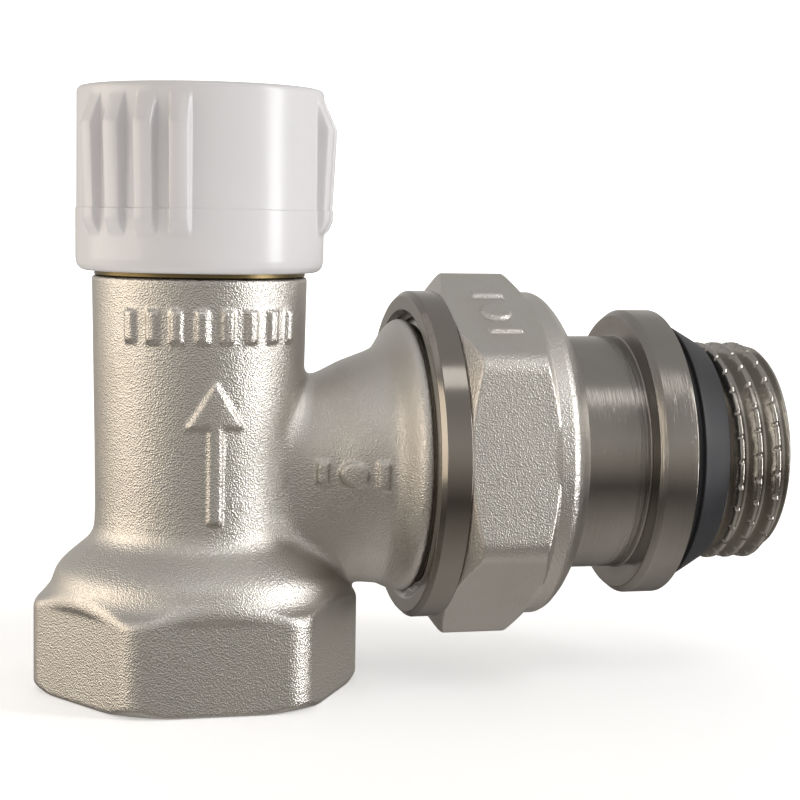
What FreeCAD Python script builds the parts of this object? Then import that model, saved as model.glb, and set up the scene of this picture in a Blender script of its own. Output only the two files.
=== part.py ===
import FreeCAD, Part

"""Angle lockshield valve with a union tailpiece, built as separate real pieces.

The frame: +Z runs up the barrel, +X runs along the branch towards the tailpiece, and
the origin is the centre of the inlet face at the foot of the body. Lengths are in mm.
"""

import math
import os
from types import SimpleNamespace

import Sketcher

OUT_DIR = "parts"
CAP_RIBS = 4

# Driving sizes. Every sketch and feature below is bound to these through the sheet.
SIZES = {
    # the G1/2 parallel pipe thread at the inlet and at the tail
    "thread_pitch": 1.8143,
    "thread_crest_radius": 10.4775,
    "thread_root_radius": 9.3155,
    "thread_crest_flat": 0.36,
    # the valve body
    "branch_height": 21.1,
    "foot_across_flats": 26.0,
    "foot_corner_round": 2.2,
    "foot_height": 9.3,
    "foot_corner_drop": 1.2,
    "foot_edge_break": 0.4,
    "shoulder_proud": 0.3,
    "shoulder_top": 10.5,
    "shoulder_neck_height": 14.9,
    "barrel_low_radius": 9.36,
    "barrel_top_radius": 9.68,
    "barrel_top": 37.6,
    "inlet_depth": 12.0,
    "mouth_chamfer": 0.45,
    "seat_hole_radius": 5.0,
    "seat_floor": 14.2,
    "seat_top": 14.6,
    "seat_lip_radius": 5.9,
    "chamber_radius": 7.1,
    "chamber_top": 27.0,
    "headwork_bore_radius": 7.5,
    "waterway_radius": 6.0,
    "branch_root_radius": 6.9,
    "branch_end_radius": 10.1,
    "branch_cone_start": 9.0,
    "branch_cone_end": 16.7,
    "gusset_drop": 5.4,
    "gusset_radius": 6.6,
    "rim_radius": 12.62,
    "rim_start": 18.3,
    "union_thread_radius": 12.62,
    "branch_face": 27.0,
    "nose_bore_radius": 8.5,
    "nose_bore_start": 21.2,
    # the union nut
    "nut_start": 19.06,
    "nut_across_flats": 30.0,
    "nut_phase": 5.0,
    "nut_corner_round": 2.4,
    "nut_collar_radius": 15.25,
    "nut_collar_length": 2.7,
    "nut_hex_length": 8.2,
    "nut_chamfer_run": 1.15,
    "nut_back_length": 1.3,
    "nut_back_radius": 15.2,
    "nut_nose_radius": 13.05,
    "nut_nose_length": 1.8,
    "nut_lip_radius": 11.9,
    "nut_lip_length": 0.55,
    "nut_mouth_radius": 13.44,
    "nut_web": 3.0,
    # the tailpiece
    "tail_reach": 54.2,
    "shank_radius": 11.04,
    "nose_start": 21.65,
    "nose_wall": 0.8,
    "tail_key_across_flats": 12.0,
    "tail_key_start": 45.0,
    "flange_start": 39.9,
    "flange_length": 3.52,
    "flange_radius": 13.56,
    "flange_bevel": 0.62,
    "seal_end": 47.83,
    "seal_big_radius": 12.45,
    "seal_small_radius": 10.6,
    "seal_step": 1.15,
    "tail_chamfer": 0.85,
    "ring_width": 1.2,
    "ring_groove_depth": 0.8,
    "ring_outer_radius": 12.1,
    # the headwork that screws into the barrel
    "headwork_flange_radius": 9.5,
    "headwork_flange_height": 1.2,
    "cap_thread_radius": 8.4,
    "headwork_shoulder": 44.0,
    "headwork_top": 47.0,
    "headwork_across_flats": 13.0,
    "guide_across_flats": 9.0,
    "guide_top": 36.3,
    # the spindle, its clip and the non-turning plug it lifts
    "spindle_radius": 3.5,
    "spindle_top": 49.5,
    "spindle_collar_radius": 4.4,
    "spindle_collar_height": 1.5,
    "spindle_screw_radius": 2.46,
    "spindle_screw_end": 24.0,
    "spindle_key_across_flats": 4.0,
    "spindle_key_depth": 3.2,
    "clip_width": 0.8,
    "clip_outer_radius": 4.7,
    "clip_opening": 40.0,
    "plug_across_flats": 8.86,
    "plug_stem_top": 30.2,
    "plug_bore_floor": 19.5,
    "plug_head_radius": 6.5,
    "plug_head_bottom": 16.6,
    "plug_head_top": 18.6,
    "washer_radius": 6.2,
    "screw_head_radius": 2.9,
    "screw_head_height": 1.2,
    "screw_shank_radius": 1.5,
    "screw_shank_end": 18.7,
    "screw_slot_width": 0.7,
    "screw_slot_depth": 0.6,
    # the rubber rings
    "ring_section_small": 0.5,
    "ring_section_large": 0.55,
    # the protective cap
    "cap_bottom": 38.0,
    "cap_top": 54.4,
    "cap_radius": 11.2,
    "cap_foot_radius": 10.6,
    "cap_foot_height": 0.8,
    "cap_top_round": 0.7,
    "cap_roof": 1.8,
    "cap_skirt_radius": 9.8,
    "cap_skirt_depth": 1.3,
    "cap_thread_depth": 6.6,
    "cap_cavity_radius": 9.1,
    "cap_rib_width": 1.7,
    "cap_rib_proud_top": 1.18,
    "cap_rib_proud_foot": 0.75,
    "cap_rib_bottom": 40.9,
    "cap_rib_top": 53.4,
    "cap_rib_first": -153.6,
    "cap_rib_pitch": 15.5,
    "cap_rib_group_turn": 127.5,
    "gasket_radius": 8.9,
    "gasket_thickness": 1.0,
    # clearances
    "running_gap": 0.03,
    "face_gap": 0.05,
    "ring_gap": 0.05,
}


class Size:
    """A number together with the spreadsheet formula that gives it."""

    def __init__(self, value, text):
        self.value = value
        self.text = text

    @staticmethod
    def of(other):
        """Wrap a plain number so that it can join a formula."""
        if isinstance(other, Size):
            return other
        return Size(float(other), repr(float(other)))

    def _join(self, other, sign, value):
        return Size(value, "(" + self.text + " " + sign + " " + Size.of(other).text + ")")

    def __add__(self, other):
        return self._join(other, "+", self.value + Size.of(other).value)

    def __sub__(self, other):
        return self._join(other, "-", self.value - Size.of(other).value)

    def __mul__(self, other):
        return self._join(other, "*", self.value * Size.of(other).value)

    def __truediv__(self, other):
        return self._join(other, "/", self.value / Size.of(other).value)

    def __neg__(self):
        return Size(-self.value, "(0 - " + self.text + ")")


def cosine(angle):
    """Cosine of a Size in degrees."""
    angle = Size.of(angle)
    return Size(math.cos(math.radians(angle.value)), "cos(" + angle.text + ")")


def sine(angle):
    """Sine of a Size in degrees."""
    angle = Size.of(angle)
    return Size(math.sin(math.radians(angle.value)), "sin(" + angle.text + ")")


def fill_sheet(doc):
    """Write every driving size into the sheet and return them as Sizes by name."""
    sheet = doc.addObject("Spreadsheet::Sheet", "dims")
    for row, (name, value) in enumerate(SIZES.items(), start=1):
        sheet.set("A" + str(row), name)
        sheet.set("B" + str(row), repr(float(value)))
        sheet.setAlias("B" + str(row), name)
    doc.recompute()
    named = {name: Size(float(value), "dims." + name) for name, value in SIZES.items()}
    return SimpleNamespace(**named)


def bind(obj, prop, size):
    """Tie one property of a feature to a Size."""
    size = Size.of(size)
    obj.setExpression(prop, size.text)


def new_body(doc, name, lift=None):
    """Start a sub-part, raised by a Size when its own axis is not the frame's."""
    body = doc.addObject("PartDesign::Body", name)
    body.Label = name
    if lift is not None:
        body.Placement.Base = FreeCAD.Vector(0, 0, lift.value)
        bind(body, ".Placement.Base.z", lift)
    return body


def plane_of(body, role):
    """Find one of the body's own origin planes by its role."""
    for feature in body.Origin.OriginFeatures:
        if feature.Role == role:
            return feature
    raise ValueError("no plane " + role)


def new_sketch(body, name, role, offset=None, turn=None):
    """Put an empty sketch on an origin plane, moved along its normal or turned by a Size."""
    sketch = body.newObject("Sketcher::SketchObject", name)
    sketch.AttachmentSupport = (plane_of(body, role), "")
    sketch.MapMode = "FlatFace"
    if offset is not None:
        sketch.AttachmentOffset = FreeCAD.Placement(
            FreeCAD.Vector(0, 0, offset.value), FreeCAD.Rotation()
        )
        bind(sketch, ".AttachmentOffset.Base.z", offset)
    if turn is not None:
        upright = FreeCAD.Vector(0, 1, 0)
        sketch.AttachmentOffset = FreeCAD.Placement(
            FreeCAD.Vector(), FreeCAD.Rotation(upright, turn.value)
        )
        bind(sketch, ".AttachmentOffset.Rotation.Angle", turn)
    return sketch


def draw_loop(sketch, points, tag):
    """Close a polygon whose every corner is held by two bound distances."""
    points = [(Size.of(x), Size.of(y)) for x, y in points]
    corners = [FreeCAD.Vector(x.value, y.value, 0) for x, y in points]
    count = len(corners)
    first = sketch.GeometryCount
    for index in range(count):
        line = Part.LineSegment(corners[index], corners[(index + 1) % count])
        sketch.addGeometry(line, False)
    for index in range(count):
        following = first + (index + 1) % count
        sketch.addConstraint(Sketcher.Constraint("Coincident", first + index, 2, following, 1))
    for index, corner in enumerate(points):
        for kind, axis, size in (("DistanceX", -2, corner[0]), ("DistanceY", -1, corner[1])):
            edge = first + index
            if size.text == "0.0":
                sketch.addConstraint(Sketcher.Constraint("PointOnObject", edge, 1, axis))
                continue
            held = sketch.addConstraint(Sketcher.Constraint(kind, -1, 1, edge, 1, size.value))
            label = tag + str(index) + kind[-1].lower()
            sketch.renameConstraint(held, label)
            bind(sketch, "Constraints." + label, size)


def draw_circle(sketch, centre, radius, tag):
    """Draw one circle with a bound centre and radius."""
    x, y, radius = Size.of(centre[0]), Size.of(centre[1]), Size.of(radius)
    spot = FreeCAD.Vector(x.value, y.value, 0)
    ring = sketch.addGeometry(Part.Circle(spot, FreeCAD.Vector(0, 0, 1), radius.value), False)
    for kind, axis, size in (("DistanceX", -2, x), ("DistanceY", -1, y)):
        if size.text == "0.0":
            sketch.addConstraint(Sketcher.Constraint("PointOnObject", ring, 3, axis))
            continue
        held = sketch.addConstraint(Sketcher.Constraint(kind, -1, 1, ring, 3, size.value))
        sketch.renameConstraint(held, tag + kind[-1].lower())
        bind(sketch, "Constraints." + tag + kind[-1].lower(), size)
    held = sketch.addConstraint(Sketcher.Constraint("Radius", ring, radius.value))
    sketch.renameConstraint(held, tag + "r")
    bind(sketch, "Constraints." + tag + "r", radius)


def hexagon(across_flats, phase=0.0):
    """Corners of a hexagon, the first corner turned by phase from the sketch's X axis."""
    corner = Size.of(across_flats) / (2.0 * math.cos(math.radians(30.0)))
    turns = [Size.of(phase) + 60.0 * step for step in range(6)]
    return [(corner * cosine(turn), corner * sine(turn)) for turn in turns]


def finish_feature(body, feature):
    """Recompute a new feature, then make it the body's tip."""
    body.Document.recompute()
    body.Tip = feature
    feature.Visibility = True
    return feature


def turn_profile(body, name, points, axis, cut=False, angle=None, drop=None):
    """Revolve a profile drawn on the XZ plane, adding or cutting it.

    axis is "V_Axis" for the Z axis with points as (radius, height), or "H_Axis" for the
    X axis with points as (station, radius). drop lowers an X axis by a Size.
    """
    sketch = new_sketch(body, name + "_sketch", "XZ_Plane")
    if drop is not None:
        sketch.AttachmentOffset = FreeCAD.Placement(
            FreeCAD.Vector(0, drop.value, 0), FreeCAD.Rotation()
        )
        bind(sketch, ".AttachmentOffset.Base.y", drop)
    draw_loop(sketch, points, "p")
    kind = "PartDesign::Groove" if cut else "PartDesign::Revolution"
    feature = body.newObject(kind, name)
    feature.Profile = sketch
    feature.ReferenceAxis = (sketch, [axis])
    feature.Angle = 360.0
    if angle is not None:
        feature.Angle = angle.value
        bind(feature, "Angle", angle)
    return finish_feature(body, feature)


def extrude(body, name, sketch, length, cut=False, reverse=False, both_ways=False):
    """Pad or pocket a sketch by a Size."""
    feature = body.newObject("PartDesign::Pocket" if cut else "PartDesign::Pad", name)
    feature.Profile = sketch
    feature.Length = length.value
    feature.Reversed = reverse
    if both_ways:
        feature.SideType = "Symmetric"
    bind(feature, "Length", length)
    return finish_feature(body, feature)


def extrude_hexagon(body, name, role, start, length, across_flats, phase=0.0, cut=False):
    """Pad or pocket a hexagon that starts a Size along the plane's normal."""
    sketch = new_sketch(body, name + "_sketch", role, start)
    draw_loop(sketch, hexagon(across_flats, phase), "h")
    return extrude(body, name, sketch, length, cut=cut, reverse=cut)


def round_corners(body, name, feature, direction, radius):
    """Round the six long edges of a hexagon that run along a direction."""
    names = []
    for index, edge in enumerate(feature.Shape.Edges, start=1):
        run = edge.lastVertex().Point.sub(edge.firstVertex().Point)
        if run.Length > 1e-6 and abs(run.normalize().dot(direction)) > 0.999:
            names.append("Edge" + str(index))
    rounded = body.newObject("PartDesign::Fillet", name)
    rounded.Base = (feature, names)
    rounded.Radius = radius.value
    bind(rounded, "Radius", radius)
    return finish_feature(body, rounded)


def repeat_along(body, name, feature, axis, pitch, count):
    """Repeat a feature along its own sketch's axis at a pitch."""
    pattern = body.newObject("PartDesign::LinearPattern", name)
    pattern.Originals = [feature]
    pattern.Direction = (feature.Profile[0], [axis])
    pattern.Occurrences = count
    pattern.Length = pitch.value * (count - 1)
    bind(pattern, "Length", pitch * float(count - 1))
    return finish_feature(body, pattern)


def thread_groove(d, centre, inside):
    """One thread groove, as the (station, radius) corners of its section."""
    half_mouth = (d.thread_pitch - d.thread_crest_flat) / 2.0
    half_floor = d.thread_crest_flat / 2.0
    over = 0.15
    if inside:
        mouth, floor = d.thread_root_radius - over, d.thread_crest_radius
    else:
        mouth, floor = d.thread_crest_radius + over, d.thread_root_radius
    return [
        (centre - half_mouth, mouth),
        (centre - half_floor, floor),
        (centre + half_floor, floor),
        (centre + half_mouth, mouth),
    ]


def swap(points):
    """Turn (station, radius) corners into (radius, station) corners."""
    return [(radius, station) for station, radius in points]


def box_points(across_low, across_high, up_low, up_high):
    """Corners of a plain rectangle."""
    return [
        (across_low, up_low),
        (across_high, up_low),
        (across_high, up_high),
        (across_low, up_high),
    ]


def build_valve_body(doc, d):
    """The forged angle body: hexagon foot, barrel, branch, seat and waterways."""
    body = new_body(doc, "valve_body")
    half_flats = d.foot_across_flats / 2.0
    foot = extrude_hexagon(
        body, "foot", "XY_Plane", Size.of(0.0), d.foot_height, d.foot_across_flats
    )
    round_corners(body, "foot_corners", foot, FreeCAD.Vector(0, 0, 1), d.foot_corner_round)
    outer = half_flats * 1.3
    arcs = [
        (half_flats, d.foot_height),
        (half_flats, d.foot_height + 1.0),
        (outer, d.foot_height + 1.0),
        (outer, d.foot_height - d.foot_corner_drop * 2.3),
    ]
    turn_profile(body, "foot_arcs", arcs, "V_Axis", cut=True)
    under = [
        (half_flats, -d.foot_edge_break),
        (outer, -d.foot_edge_break),
        (outer, d.foot_edge_break * 3.0),
        (half_flats + d.foot_edge_break * 2.0, Size.of(0.0)),
    ]
    turn_profile(body, "foot_edge", under, "V_Axis", cut=True)
    shoulder = half_flats + d.shoulder_proud
    skin = [
        (0.0, d.seat_floor / 2.0),
        (shoulder, d.seat_floor / 2.0),
        (shoulder, d.shoulder_top),
        (shoulder - 0.6, d.shoulder_top + 0.9),
        (d.barrel_low_radius + 0.5, d.shoulder_neck_height - 0.8),
        (d.barrel_low_radius, d.shoulder_neck_height),
        (d.barrel_top_radius, d.barrel_top),
        (0.0, d.barrel_top),
    ]
    turn_profile(body, "barrel", skin, "V_Axis")
    slope_end = d.branch_cone_end
    gusset = [
        (0.0, 0.0),
        (0.0, d.gusset_radius * 0.8),
        (d.rim_start, d.gusset_radius),
        (d.rim_start, 0.0),
    ]
    turn_profile(body, "gusset", gusset, "H_Axis", drop=d.branch_height - d.gusset_drop)
    branch = [
        (0.0, 0.0),
        (0.0, d.branch_root_radius),
        (d.branch_cone_start, d.branch_root_radius),
        (slope_end, d.branch_end_radius),
        (d.rim_start, d.rim_radius),
        (d.branch_face - 0.8, d.union_thread_radius),
        (d.branch_face, d.union_thread_radius - 0.8),
        (d.branch_face, 0.0),
    ]
    turn_profile(body, "branch", branch, "H_Axis", drop=d.branch_height)
    seat_flare = d.seat_hole_radius + 0.0
    water = [
        (0.0, -0.5),
        (d.thread_root_radius + d.mouth_chamfer * 3.0, -0.5),
        (d.thread_root_radius + d.mouth_chamfer * 2.0, 0.0),
        (d.thread_root_radius, d.mouth_chamfer),
        (d.thread_root_radius, d.inlet_depth),
        (seat_flare, d.inlet_depth),
        (d.seat_hole_radius, d.seat_top),
        (d.seat_lip_radius, d.seat_top),
        (d.seat_lip_radius, d.seat_floor),
        (d.chamber_radius, d.seat_floor),
        (d.chamber_radius, d.chamber_top),
        (d.headwork_bore_radius, d.chamber_top),
        (d.headwork_bore_radius, d.barrel_top + 1.0),
        (0.0, d.barrel_top + 1.0),
    ]
    turn_profile(body, "bore", water, "V_Axis", cut=True)
    outlet = [
        (0.0, 0.0),
        (0.0, d.waterway_radius),
        (d.nose_bore_start - 1.5, d.waterway_radius),
        (d.nose_bore_start, d.nose_bore_radius),
        (d.branch_face - 0.5, d.nose_bore_radius),
        (d.branch_face + 0.2, d.nose_bore_radius + 0.7),
        (d.branch_face + 0.2, 0.0),
    ]
    turn_profile(body, "outlet", outlet, "H_Axis", cut=True, drop=d.branch_height)
    first = d.mouth_chamfer + d.thread_pitch * 0.62
    groove = turn_profile(
        body, "inlet_thread", swap(thread_groove(d, first, True)), "V_Axis", cut=True
    )
    repeat_along(body, "inlet_threads", groove, "V_Axis", d.thread_pitch, 5)
    return body


def build_headwork(doc, d):
    """The brass headwork: plug guide, spindle bore, cap thread and a key hexagon."""
    body = new_body(doc, "headwork")
    screw = d.headwork_bore_radius - d.running_gap
    seat = d.barrel_top + d.face_gap
    rim_top = seat + d.headwork_flange_height
    groove_floor = d.headwork_bore_radius - d.ring_section_small * 2.0 - d.ring_gap * 2.0
    groove_low = seat - 2.2
    groove_high = groove_low + d.ring_section_small * 2.0 + 0.2
    skin = [
        (0.0, d.chamber_top + d.face_gap),
        (screw - 0.4, d.chamber_top + d.face_gap),
        (screw, d.chamber_top + 0.6),
        (screw, groove_low),
        (groove_floor, groove_low),
        (groove_floor, groove_high),
        (screw, groove_high),
        (screw, seat),
        (d.headwork_flange_radius, seat),
        (d.headwork_flange_radius, rim_top),
        (d.cap_thread_radius - 0.5, rim_top),
        (d.cap_thread_radius, rim_top + 0.5),
        (d.cap_thread_radius, d.headwork_shoulder - 0.6),
        (d.cap_thread_radius - 0.6, d.headwork_shoulder),
        (0.0, d.headwork_shoulder),
    ]
    turn_profile(body, "shell", skin, "V_Axis")
    height = d.headwork_top - d.headwork_shoulder
    extrude_hexagon(
        body, "key_hexagon", "XY_Plane", d.headwork_shoulder, height, d.headwork_across_flats
    )
    bore = box_points(
        Size.of(0.0),
        d.spindle_radius + d.running_gap,
        d.guide_top - 0.5,
        d.headwork_top + 0.5,
    )
    turn_profile(body, "spindle_bore", bore, "V_Axis", cut=True)
    guide_low = d.chamber_top - 0.5
    guide = new_sketch(body, "guide_sketch", "XY_Plane", guide_low)
    draw_loop(guide, hexagon(d.guide_across_flats), "g")
    extrude(body, "guide", guide, d.guide_top - guide_low, cut=True, reverse=True)
    return body


def ring_body(doc, name, middle, section, height, lift=None, along_x=False):
    """A round-section rubber ring about Z at a height, or about X at a station."""
    body = new_body(doc, name, lift)
    sketch = new_sketch(body, "section_sketch", "XZ_Plane")
    centre = (height, middle) if along_x else (middle, height)
    draw_circle(sketch, centre, section, "c")
    feature = body.newObject("PartDesign::Revolution", "ring")
    feature.Profile = sketch
    feature.ReferenceAxis = (sketch, ["H_Axis" if along_x else "V_Axis"])
    feature.Angle = 360.0
    finish_feature(body, feature)
    return body


def stem_ring_height(d, index):
    """Height of a spindle O-ring, counted up from the guide."""
    return d.guide_top + 3.0 + 3.2 * index


def build_rings(doc, d):
    """The O-rings of the headwork, the spindle and the tailpiece's nose."""
    section = d.ring_section_small
    seat = d.barrel_top + d.face_gap
    ring_body(
        doc,
        "headwork_oring",
        d.headwork_bore_radius - section - d.ring_gap,
        section,
        seat - 2.2 + section + 0.1,
    )
    names = ("stem_oring_lower", "stem_oring_upper")
    for index, name in enumerate(names):
        middle = d.spindle_radius - section
        ring_body(doc, name, middle, section, stem_ring_height(d, index))
    large = d.ring_section_large
    ring_body(
        doc,
        "nose_oring",
        d.nose_bore_radius - large - d.ring_gap,
        large,
        d.nose_start + 2.75,
        lift=d.branch_height,
        along_x=True,
    )


def build_spindle(doc, d):
    """The turning spindle: key socket, shaft with ring grooves, collar and lifting screw."""
    body = new_body(doc, "spindle")
    collar_top = d.guide_top - d.face_gap
    collar_low = collar_top - d.spindle_collar_height
    floor = d.spindle_radius - d.ring_section_small * 2.0 - d.ring_gap
    half = d.ring_section_small + 0.1
    clip_low = d.headwork_top + d.face_gap
    clip_floor = d.spindle_radius - 0.5
    points = [
        (0.0, d.spindle_screw_end),
        (d.spindle_screw_radius - 0.5, d.spindle_screw_end),
        (d.spindle_screw_radius, d.spindle_screw_end + 0.5),
        (d.spindle_screw_radius, collar_low),
        (d.spindle_collar_radius, collar_low),
        (d.spindle_collar_radius, collar_top),
        (d.spindle_radius, collar_top),
    ]
    for index in range(2):
        middle = stem_ring_height(d, index)
        points += [
            (d.spindle_radius, middle - half),
            (floor, middle - half),
            (floor, middle + half),
            (d.spindle_radius, middle + half),
        ]
    points += [
        (d.spindle_radius, clip_low),
        (clip_floor, clip_low),
        (clip_floor, clip_low + d.clip_width + 0.1),
        (d.spindle_radius, clip_low + d.clip_width + 0.1),
        (d.spindle_radius, d.spindle_top - 0.4),
        (d.spindle_radius - 0.4, d.spindle_top),
        (0.0, d.spindle_top),
    ]
    turn_profile(body, "shaft", points, "V_Axis")
    start = d.spindle_top - d.spindle_key_depth
    socket = new_sketch(body, "socket_sketch", "XY_Plane", start)
    draw_loop(socket, hexagon(d.spindle_key_across_flats), "k")
    extrude(body, "socket", socket, d.spindle_key_depth + 0.2, cut=True, reverse=True)
    return body


def build_clip(doc, d):
    """The open spring clip that keeps the spindle from dropping into the body."""
    body = new_body(doc, "spindle_clip")
    low = d.headwork_top + d.face_gap * 2.0
    section = box_points(
        d.spindle_radius - 0.5 + d.running_gap,
        d.clip_outer_radius,
        low,
        low + d.clip_width - d.face_gap,
    )
    sweep = Size.of(360.0) - d.clip_opening
    turn_profile(body, "clip", section, "V_Axis", angle=sweep)
    return body


def build_plug(doc, d):
    """The non-turning plug: hexagon stem with a lifting thread, head and screw hole."""
    body = new_body(doc, "plug")
    head = [
        (0.0, d.plug_head_bottom),
        (d.plug_head_radius - 0.3, d.plug_head_bottom),
        (d.plug_head_radius, d.plug_head_bottom + 0.3),
        (d.plug_head_radius, d.plug_head_top - 0.5),
        (d.plug_head_radius - 0.5, d.plug_head_top),
        (0.0, d.plug_head_top),
    ]
    turn_profile(body, "head", head, "V_Axis")
    stem_low = d.plug_head_top - 0.2
    extrude_hexagon(
        body,
        "stem",
        "XY_Plane",
        stem_low,
        d.plug_stem_top - stem_low,
        d.plug_across_flats,
    )
    lift_bore = box_points(
        Size.of(0.0),
        d.spindle_screw_radius + d.running_gap,
        d.plug_bore_floor,
        d.plug_stem_top + 0.5,
    )
    turn_profile(body, "lift_bore", lift_bore, "V_Axis", cut=True)
    screw_hole = box_points(
        Size.of(0.0),
        d.screw_shank_radius + d.running_gap,
        d.plug_head_bottom - 0.5,
        d.screw_shank_end + 0.2,
    )
    turn_profile(body, "screw_hole", screw_hole, "V_Axis", cut=True)
    return body


def build_seat_washer(doc, d):
    """The flat rubber washer that closes on the seat."""
    body = new_body(doc, "seat_washer")
    ring = box_points(
        d.screw_shank_radius + d.running_gap * 2.0,
        d.washer_radius,
        d.seat_top + d.running_gap,
        d.plug_head_bottom - d.running_gap,
    )
    turn_profile(body, "ring", ring, "V_Axis")
    return body


def build_washer_screw(doc, d):
    """The slotted screw that holds the washer to the plug."""
    body = new_body(doc, "washer_screw")
    top = d.seat_top
    low = top - d.screw_head_height
    points = [
        (0.0, low),
        (d.screw_head_radius - 0.4, low),
        (d.screw_head_radius, low + 0.4),
        (d.screw_head_radius, top),
        (d.screw_shank_radius, top),
        (d.screw_shank_radius, d.screw_shank_end),
        (0.0, d.screw_shank_end),
    ]
    turn_profile(body, "screw", points, "V_Axis")
    slot = new_sketch(body, "slot_sketch", "XY_Plane", low)
    half = d.screw_slot_width / 2.0
    reach = d.screw_head_radius + 0.5
    draw_loop(slot, box_points(-reach, reach, -half, half), "s")
    extrude(body, "slot", slot, d.screw_slot_depth, cut=True, reverse=True)
    return body


def build_cap(doc, d):
    """The protective cap: thin cup with a screw socket and three groups of grip ribs."""
    body = new_body(doc, "cap")
    edge = d.cap_top_round
    skin = [
        (0.0, d.cap_bottom),
        (d.cap_foot_radius, d.cap_bottom),
        (d.cap_radius, d.cap_bottom + d.cap_foot_height),
        (d.cap_radius, d.cap_top - edge),
        (d.cap_radius - edge * 0.3, d.cap_top - edge * 0.3),
        (d.cap_radius - edge, d.cap_top),
        (0.0, d.cap_top),
    ]
    turn_profile(body, "shell", skin, "V_Axis")
    inner = d.cap_cavity_radius + 0.6
    rear = d.cap_rib_group_turn / 2.0 + 180.0
    for name, turn in (("left", None), ("right", d.cap_rib_group_turn), ("rear", rear)):
        rib = new_sketch(body, name + "_rib_sketch", "XZ_Plane", turn=turn)
        outline = [
            (inner, d.cap_rib_bottom),
            (d.cap_radius, d.cap_rib_bottom),
            (d.cap_radius + d.cap_rib_proud_foot, d.cap_rib_bottom + 1.1),
            (d.cap_radius + d.cap_rib_proud_top, d.cap_rib_top - 2.6),
            (d.cap_radius, d.cap_rib_top),
            (inner, d.cap_rib_top),
        ]
        draw_loop(rib, outline, "r")
        first = extrude(body, name + "_rib", rib, d.cap_rib_width, both_ways=True)
        pattern = body.newObject("PartDesign::PolarPattern", name + "_ribs")
        pattern.Originals = [first]
        pattern.Axis = (rib, ["V_Axis"])
        pattern.Occurrences = CAP_RIBS
        spread = d.cap_rib_pitch * float(CAP_RIBS - 1)
        pattern.Angle = spread.value
        bind(pattern, "Angle", spread)
        finish_feature(body, pattern)
    mouth = d.cap_bottom + d.cap_skirt_depth
    thread_top = mouth + d.cap_thread_depth
    bore = [
        (0.0, d.cap_bottom - 0.5),
        (d.cap_skirt_radius, d.cap_bottom - 0.5),
        (d.cap_skirt_radius, mouth),
        (d.cap_thread_radius + d.running_gap, mouth),
        (d.cap_thread_radius + d.running_gap, thread_top),
        (d.cap_cavity_radius, thread_top + 0.7),
        (d.cap_cavity_radius, d.cap_top - d.cap_roof),
        (0.0, d.cap_top - d.cap_roof),
    ]
    turn_profile(body, "socket", bore, "V_Axis", cut=True)
    body.Placement.Rotation = FreeCAD.Rotation(FreeCAD.Vector(0, 0, 1), d.cap_rib_first.value)
    bind(body, ".Placement.Rotation.Angle", d.cap_rib_first)
    return body


def build_cap_gasket(doc, d):
    """The loose flat gasket that rides up inside the cap without turning."""
    body = new_body(doc, "cap_gasket")
    top = d.cap_top - d.cap_roof - d.face_gap
    disc = [
        (0.0, top - d.gasket_thickness),
        (d.gasket_radius, top - d.gasket_thickness),
        (d.gasket_radius, top),
        (0.0, top),
    ]
    turn_profile(body, "disc", disc, "V_Axis")
    return body


def build_union_nut(doc, d):
    """The hexagon union nut: machined collar, arced hexagon and rounded back."""
    body = new_body(doc, "union_nut", d.branch_height)
    hex_start = d.nut_start + d.nut_collar_length
    hex_end = hex_start + d.nut_hex_length
    phase = Size.of(90.0) - d.nut_phase
    flats = extrude_hexagon(
        body, "hexagon", "YZ_Plane", hex_start, d.nut_hex_length, d.nut_across_flats, phase + 0.0
    )
    round_corners(body, "hexagon_corners", flats, FreeCAD.Vector(1, 0, 0), d.nut_corner_round)
    half_flats = d.nut_across_flats / 2.0
    corner = half_flats * 1.16
    front = [
        (hex_start - 0.5, half_flats + 0.1),
        (hex_start, half_flats + 0.1),
        (hex_start + d.nut_chamfer_run, corner),
        (hex_start + d.nut_chamfer_run, corner + 1.0),
        (hex_start - 0.5, corner + 1.0),
    ]
    turn_profile(body, "front_arcs", front, "H_Axis", cut=True)
    back = [
        (hex_end + 0.5, half_flats),
        (hex_end, half_flats),
        (hex_end - d.nut_chamfer_run, corner),
        (hex_end - d.nut_chamfer_run, corner + 1.0),
        (hex_end + 0.5, corner + 1.0),
    ]
    turn_profile(body, "back_arcs", back, "H_Axis", cut=True)
    back_end = hex_end + d.nut_back_length
    nose_end = back_end + d.nut_nose_length
    lip_end = nose_end + d.nut_lip_length
    skin = [
        (d.nut_start, 0.0),
        (d.nut_start, d.nut_collar_radius - 0.45),
        (d.nut_start + 0.45, d.nut_collar_radius),
        (hex_start + 0.3, d.nut_collar_radius),
        (hex_start + 0.3, half_flats - 0.4),
        (hex_end - 0.2, half_flats - 0.4),
        (hex_end - 0.2, d.nut_back_radius),
        (back_end, d.nut_back_radius),
        (nose_end, d.nut_nose_radius),
        (lip_end, d.nut_lip_radius),
        (lip_end, 0.0),
    ]
    turn_profile(body, "collars", skin, "H_Axis")
    thread = d.union_thread_radius + d.running_gap
    shoulder = lip_end - d.nut_web
    bore = [
        (d.nut_start - 0.5, 0.0),
        (d.nut_start - 0.5, d.nut_mouth_radius),
        (d.nut_start, d.nut_mouth_radius),
        (d.nut_start + 0.8, thread),
        (shoulder, thread),
        (shoulder, d.shank_radius + d.running_gap * 2.0),
        (lip_end + 0.5, d.shank_radius + d.running_gap * 2.0),
        (lip_end + 0.5, 0.0),
    ]
    turn_profile(body, "bore", bore, "H_Axis", cut=True)
    return body


def nut_shoulder(d):
    """Station of the inner face of the nut's web, which the split ring bears on."""
    length = (
        d.nut_collar_length
        + d.nut_hex_length
        + d.nut_back_length
        + d.nut_nose_length
        + d.nut_lip_length
    )
    return d.nut_start + length - d.nut_web


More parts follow.
